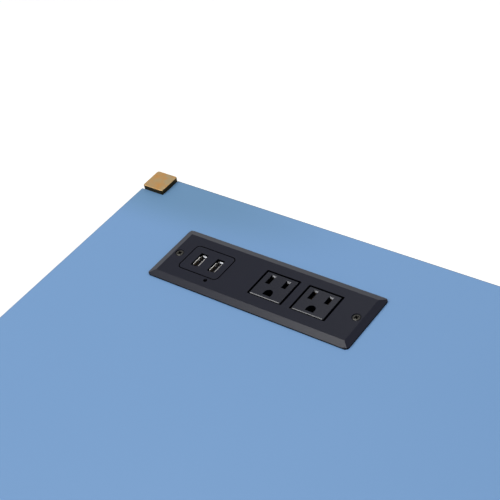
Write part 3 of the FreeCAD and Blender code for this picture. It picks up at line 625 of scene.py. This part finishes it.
# USB shells: folded sheet, with an edge rolled to a ridge along each long side, which catches the light
usbShell = {"halfWidth": 2.55, "halfLength": 6.45, "corner": 0.7, "cornerSteps": 3, "recess": 1.8,
            "wall": 0.35, "edgeLength": 8.0, "edgeForward": 0.9, "edgeWidth": 0.55, "edgeTop": 0.62,
            "edgeShoulder": 0.85}


def addUsbShells():
    shape = bmesh.new()
    p = usbShell
    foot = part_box("usb_shells")[0].z * inMetre
    half = p["edgeWidth"] / 2
    ridge = [(-half, p["recess"]), (-half, p["edgeShoulder"]), (0, p["edgeTop"]),
             (half, p["edgeShoulder"]), (half, p["recess"])]
    for side in sides:
        x, y, z = mounts["usb_port_" + side]
        rim = z - p["recess"]
        profile = [(0.0, foot), (0.0, rim), (p["wall"], rim), (p["wall"], foot)]
        rings = [roundedRing(shape, (x, y), (p["halfWidth"] - inset, p["halfLength"] - inset),
                             p["corner"] - inset, p["cornerSteps"], height) for inset, height in profile]
        joinRings(shape, rings + rings[:1])
        for way in (-1, 1):
            place = (x + way * (p["halfWidth"] - half), y - p["edgeForward"], z)
            addPrism(shape, place, (1, 0, 0), (0, 1, 0), ridge, p["edgeLength"])
    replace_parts(addPiece("rolledUsbShells", shape, "nickel"), "usb_shells")


addUsbShells()
print("caps, bezel, outlets and USB shells shaped")


# Springs pressed in the end and side walls of the USB shells: each bends in from its top to a knee, and
# back to the wall at its foot
endSpring = {"apart": 12.2, "width": 3.1, "top": 1.45, "reach": 0.75, "knee": 2.2, "foot": 5.0}
sideSpring = {"apart": 4.4, "back": 1.6, "width": 1.5, "top": 1.9, "reach": 0.45, "knee": 2.5, "foot": 4.0}


def bentOutline(spring):
    return [(0, spring["top"]), (spring["reach"], spring["knee"]), (0, spring["foot"])]


def addUsbSprings():
    shape = bmesh.new()
    for side in sides:
        x, y, z = mounts["usb_port_" + side]
        for way in (-1, 1):
            atEnd = (x, y + way * endSpring["apart"] / 2, z)
            addPrism(shape, atEnd, (0, -way, 0), (1, 0, 0), bentOutline(endSpring), endSpring["width"])
            atSide = (x + way * sideSpring["apart"] / 2, y + sideSpring["back"], z)
            addPrism(shape, atSide, (-way, 0, 0), (0, 1, 0), bentOutline(sideSpring), sideSpring["width"])
    addPiece("usbShellSprings", shape, "tinned")


# Contact strips on the tongues of the USB ports, each with a raised bow near its end, where a plug presses
usbStrip = {"count": 4, "pitch": 2.4, "width": 1.1, "thickness": 0.15, "top": 2.9, "foot": 8.0,
            "bowHeight": 0.45, "bowLength": 2.0, "tongueMiddle": 0.6, "tongueHalf": 0.9}


def addUsbContacts():
    shape = bmesh.new()
    p = usbStrip
    top, thick = p["top"], p["thickness"]
    outline = [(0, top), (-thick, top), (-p["bowHeight"], top + p["bowLength"] / 2),
               (-thick, top + p["bowLength"]), (-thick, p["foot"]), (0, p["foot"])]
    for side in sides:
        x, y, z = mounts["usb_port_" + side]
        face = x + p["tongueMiddle"] - p["tongueHalf"]
        for i in range(p["count"]):
            place = y + (i - (p["count"] - 1) / 2) * p["pitch"]
            addPrism(shape, (face, place, z), (1, 0, 0), (0, 1, 0), outline, p["width"])
    addPiece("usbContacts", shape, "brass")


# Lips of the contact springs, bent over the back end of each blade slot
slotLip = {"slotSpacing": 12.7, "slotFromMiddle": 4.9, "slotLengths": (8.6, 7.2), "width": 2.9, "top": 0.4,
           "reach": 0.6, "knee": 1.25, "foot": 4.2}


def addSlotLips():
    shape = bmesh.new()
    p = slotLip
    for side in sides:
        x, y, z = mounts["mains_outlet_" + side]
        for way, length in zip((-1, 1), p["slotLengths"]):
            origin = (x + way * p["slotSpacing"] / 2, y + p["slotFromMiddle"] + length / 2, z)
            addPrism(shape, origin, (0, -1, 0), (1, 0, 0), bentOutline(p), p["width"])
    addPiece("slotContactLips", shape, "tinned")


addUsbSprings()
addUsbContacts()
addSlotLips()


# Weld beads where the side stretchers meet the legs: a row of small overlapping ripples that tapers off
# over a share of its length at each end
weld = {"radius": 1.8, "ripple": 1.6, "ringsPerRipple": 4, "swell": 0.14, "around": 14, "taper": 0.25,
        "shortBy": 3.0}


def addBead(shape, start, end):
    along = (end - start).normalized()
    length = (end - start).length
    count = round(length / weld["ripple"] * weld["ringsPerRipple"])
    rings = [[shape.verts.new(start)]]
    for i in range(1, count):
        share = i / count
        full = min(1.0, share / weld["taper"], (1 - share) / weld["taper"]) ** 0.5
        swell = 1 + weld["swell"] * math.cos(i * 2 * math.pi / weld["ringsPerRipple"])
        radii = [weld["radius"] * full * swell] * weld["around"]
        rings.append(turnedRing(shape, start + along * (share * length), along, radii))
    rings.append([shape.verts.new(end)])
    joinRings(shape, rings)


def addWelds():
    shape = bmesh.new()
    for side in sides:
        low, high = (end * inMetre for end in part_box("side_stretcher_" + side))
        for y in (low.y, high.y):
            for z in (low.z, high.z):
                addBead(shape, Vector((low.x + weld["shortBy"], y, z)),
                        Vector((high.x - weld["shortBy"], y, z)))
    addPiece("stretcherWelds", shape, "legs")


addWelds()


# Screws with a cross recess and a thread, in the places of the plain ones. A head is rings of (depth in
# millimetres, share of its radius) from its face down, and its cross is in shares of that radius; the bed
# of the cross is a share of its outline, and its point a share of its depth
screw = {"around": 24, "pitch": 1.9, "threadDepth": 0.45, "threadCurve": 0.7, "stepsPerTurn": 6,
         "point": 3.0, "blunt": 0.2, "crossBed": 0.8, "crossPoint": 1.2, "nearEnd": 0.01, "nearShank": 0.02}
panHead = {"rings": [(0.0, 0.55), (0.1, 0.8), (0.35, 0.97), (0.65, 1.0)], "cone": False,
           "crossLength": 0.46, "crossWidth": 0.14, "crossDepth": 0.55}
sunkHead = {"rings": [(0.0, 0.55), (0.0, 0.97), (0.15, 1.0)], "cone": True, "crossLength": 0.46,
            "crossWidth": 0.14, "crossDepth": 0.55}
ovalHead = {"rings": [(0.0, 0.68), (0.1, 0.84), (0.35, 1.0)], "cone": True, "crossLength": 0.6,
            "crossWidth": 0.2, "crossDepth": 0.5}
screwNodes = {"wood_screws": ("desk", panHead, "zinc", "screw_steel"),
              "carcass_screws": ("desk", sunkHead, "zinc", "screw_steel"),
              "drawer_left_pull_screws": ("drawer_left", panHead, "zinc", "screw_steel"),
              "drawer_right_pull_screws": ("drawer_right", panHead, "zinc", "screw_steel"),
              "power_screws": ("desk", ovalHead, "blackOxide", "black_steel")}


def looseParts(node):
    # the corners of each separate solid in a node
    shape = solidShape(node)
    left = set(shape.verts)
    parts = []
    while left:
        edge = [left.pop()]
        part = []
        while edge:
            vert = edge.pop()
            part.append(vert.co.copy())
            for link in vert.link_edges:
                other = link.other_vert(vert)
                if other in left:
                    left.remove(other)
                    edge.append(other)
        parts.append(part)
    shape.free()
    return parts


def screwFacts(points):
    # middle of the head's flat, way the screw goes in, and its sizes, from the corners of a plain screw
    low = Vector([min(point[i] for point in points) for i in range(3)])
    high = Vector([max(point[i] for point in points) for i in range(3)])
    axis = max(range(3), key=lambda i: (high - low)[i])
    start = (low + high) / 2
    way = Vector([1.0 if i == axis else 0.0 for i in range(3)])

    def fromAxis(point):
        return ((point - start) - way * (point - start).dot(way)).length

    spread = {end: max(fromAxis(point) for point in points if abs(point[axis] - end) < screw["nearEnd"])
              for end in (low[axis], high[axis])}
    head, tip = sorted(spread, key=spread.get, reverse=True)
    start[axis] = head
    along = way if tip > head else -way
    # the head ends at the first corners that lie on the shank
    headHeight = min((point - start).dot(along) for point in points
                     if abs(fromAxis(point) - spread[tip]) < screw["nearShank"])
    return start, along, spread[head], spread[tip], headHeight, abs(tip - head)


def addScrew(shape, points, kind):
    start, along, headRadius, shankRadius, headHeight, length = screwFacts(points)
    around = screw["around"]
    profile = [(depth, headRadius * share) for depth, share in kind["rings"]]
    if not kind["cone"]:
        profile.append((headHeight, headRadius))
    profile.append((headHeight, shankRadius))
    rings = [turnedRing(shape, start + along * depth, along, [radius] * around)
             for depth, radius in profile]
    depth = headHeight
    step = screw["pitch"] / screw["stepsPerTurn"]
    while depth + step < length - screw["blunt"]:
        depth += step
        thin = min(1.0, (length - depth) / screw["point"]) ** 0.5
        phases = [(depth / screw["pitch"] - k / around) % 1.0 for k in range(around)]
        radii = [thin * (shankRadius - screw["threadDepth"] * abs(2 * phase - 1) ** screw["threadCurve"])
                 for phase in phases]
        rings.append(turnedRing(shape, start + along * depth, along, radii))
    rings.append([shape.verts.new(start + along * length)])
    joinRings(shape, rings)
    addRecess(shape, start, along, rings[0], headRadius, kind)


def addRecess(shape, start, along, rim, headRadius, kind):
    # a cross sunk in the flat: its walls, a bed that falls to a point, and the flat round it up to the rim
    one, two = squareTo(along)
    deep = along * (headRadius * kind["crossDepth"])
    outline = [one * x + two * y for x, y in
               crossOutline(headRadius * kind["crossLength"], headRadius * kind["crossWidth"])]
    top = [shape.verts.new(start + point) for point in outline]
    bed = [shape.verts.new(start + point * screw["crossBed"] + deep) for point in outline]
    joinRings(shape, [top, bed, [shape.verts.new(start + deep * screw["crossPoint"])]])
    edges = [shape.edges.get((ring[i], ring[(i + 1) % len(ring)])) for ring in (top, rim)
             for i in range(len(ring))]
    bmesh.ops.triangle_fill(shape, use_beauty=True, edges=edges, normal=-along)


def addScrews():
    for node, (body, kind, finish, slot) in screwNodes.items():
        shape = bmesh.new()
        for points in looseParts(node):
            addScrew(shape, points, kind)
        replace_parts(addPiece("threaded_" + node, shape, finish, body), node)


addScrews()
print("springs, contacts, welds and screws added")


# Camera of the photograph: turned and raised round the desk, tilted about its own axis
camera = {"place": (0.0549, -0.28573, 1.32725), "azimuth": 43.332, "elevation": 39.704, "roll": -11.752,
          "lens": 91.115, "sensor": 36.0, "nearest": 0.01}


def addCamera():
    data = bpy.data.cameras.new("photoCamera")
    data.lens = camera["lens"]
    data.sensor_width = camera["sensor"]
    data.clip_start = camera["nearest"]
    azimuth, elevation, roll = (math.radians(camera[turn]) for turn in ("azimuth", "elevation", "roll"))
    back = Vector((math.sin(azimuth) * math.cos(elevation), -math.cos(azimuth) * math.cos(elevation),
                   math.sin(elevation)))
    level = Vector((0, 0, 1)).cross(back).normalized()
    right = level * math.cos(roll) + back.cross(level) * math.sin(roll)
    up = back.cross(right)
    facing = Matrix((right, up, back)).transposed()
    thing = bpy.data.objects.new("photoCamera", data)
    thing.matrix_world = Matrix.Translation(camera["place"]) @ facing.to_4x4()
    scene.collection.objects.link(thing)
    scene.camera = thing


addCamera()

# The front left box gives the bright edges, the overhead one the front of the bezel's rim, the back right
# one the back of it; the back box lights the level faces, the right one and the one by the camera fill in
softBoxes = [
    {"name": "frontLeftBox", "place": (-1.76, -1.48, 2.22), "aim": (-0.38, 0.18, 0.76),
     "size": 0.7, "watts": 14},
    {"name": "overheadBox", "place": (-1.15, 0.2, 2.97), "aim": (-0.3, 0.1, 0.76),
     "size": 0.8, "watts": 12.5},
    {"name": "backBox", "place": (-1.17, 1.62, 2.49), "aim": (-0.31, 0.18, 0.76),
     "size": 0.5, "watts": 0.77},
    {"name": "backRightBox", "place": (0.72, 1.45, 2.32), "aim": (-0.38, 0.18, 0.76),
     "size": 0.5, "watts": 2},
    {"name": "rightBox", "place": (2.4, -0.6, 1.6), "aim": (0.0, 0.0, 0.5), "size": 1.6, "watts": 10.5},
    {"name": "cameraBox", "place": (0.4, -0.6, 2.3), "aim": (-0.38, 0.18, 0.76), "size": 0.3, "watts": 3},
]


def addSoftBoxes():
    for box in softBoxes:
        data = bpy.data.lights.new(box["name"], "AREA")
        data.size = box["size"]
        data.energy = box["watts"]
        lamp = bpy.data.objects.new(box["name"], data)
        lamp.location = box["place"]
        towards = Vector(box["aim"]) - Vector(box["place"])
        lamp.rotation_euler = towards.to_track_quat("-Z", "Y").to_euler()
        scene.collection.objects.link(lamp)


addSoftBoxes()

# Studio: pale all round, dimmer in its reflections higher up, white where the camera sees it. What is
# reflected goes by (height of the direction, level)
studio = {"light": 0.44, "reflected": [(0.0, 1.3), (0.18, 1.2), (0.34, 0.4), (0.5, 0.33), (0.62, 0.32),
                                       (0.72, 0.45), (1.0, 0.4)],
          "floorColour": "#E9E9E8", "floorRoughness": 0.9, "floorGlow": 0.52, "floorSize": 60.0}


def addStudio():
    world = bpy.data.worlds.new("studio")
    scene.world = world
    world.use_nodes = True
    tree = world.node_tree
    back = tree.nodes["Background"]
    rays = tree.nodes.new("ShaderNodeLightPath").outputs
    way = tree.nodes.new("ShaderNodeTexCoord").outputs["Generated"]
    ways = addNode(tree, "ShaderNodeSeparateXYZ", {"Vector": way})
    rising = addNode(tree, "ShaderNodeValToRGB", {"Fac": ways.outputs["Z"]})
    stops = rising.color_ramp.elements
    while len(stops) < len(studio["reflected"]):
        stops.new(1.0)
    for stop, (height, level) in zip(stops, studio["reflected"]):
        stop.position = height
        stop.color = (level, level, level, 1)
    glossy = addNode(tree, "ShaderNodeMix", {"Factor": rays["Is Glossy Ray"], "A": studio["light"],
                                             "B": rising.outputs["Color"]})
    seen = addNode(tree, "ShaderNodeMath", {0: rays["Is Camera Ray"], 1: rays["Is Transmission Ray"]},
                   operation="MAXIMUM")
    strength = addNode(tree, "ShaderNodeMix", {"Factor": seen.outputs[0], "A": glossy.outputs["Result"],
                                               "B": 1.0})
    back.inputs["Color"].default_value = (1, 1, 1, 1)
    tree.links.new(strength.outputs["Result"], back.inputs["Strength"])


def addFloor():
    sheet = bpy.data.meshes.new("floor")
    half = studio["floorSize"] / 2
    rim = [(-half, -half, 0), (half, -half, 0), (half, half, 0), (-half, half, 0)]
    sheet.from_pydata(rim, [], [(0, 1, 2, 3)])
    floor = bpy.data.objects.new("floor", sheet)
    scene.collection.objects.link(floor)
    material = bpy.data.materials.new("paleFloorPaint")
    material.use_nodes = True
    tree = material.node_tree
    shader = tree.nodes["Principled BSDF"]
    shader.inputs["Base Color"].default_value = fromHex(studio["floorColour"])
    shader.inputs["Roughness"].default_value = studio["floorRoughness"]
    shader.inputs["Emission Color"].default_value = (1, 1, 1, 1)
    rays = tree.nodes.new("ShaderNodeLightPath").outputs
    mirrored = addNode(tree, "ShaderNodeMath", {0: rays["Is Glossy Ray"], 1: rays["Is Transmission Ray"]},
                       operation="MAXIMUM")
    seen = addNode(tree, "ShaderNodeMath", {0: rays["Is Camera Ray"], 1: mirrored.outputs[0]},
                   operation="MAXIMUM")
    glow = addNode(tree, "ShaderNodeMath", {0: seen.outputs[0], 1: studio["floorGlow"]},
                   operation="MULTIPLY")
    tree.links.new(glow.outputs[0], shader.inputs["Emission Strength"])
    sheet.materials.append(material)


addStudio()
addFloor()
print("camera, light and floor in place")
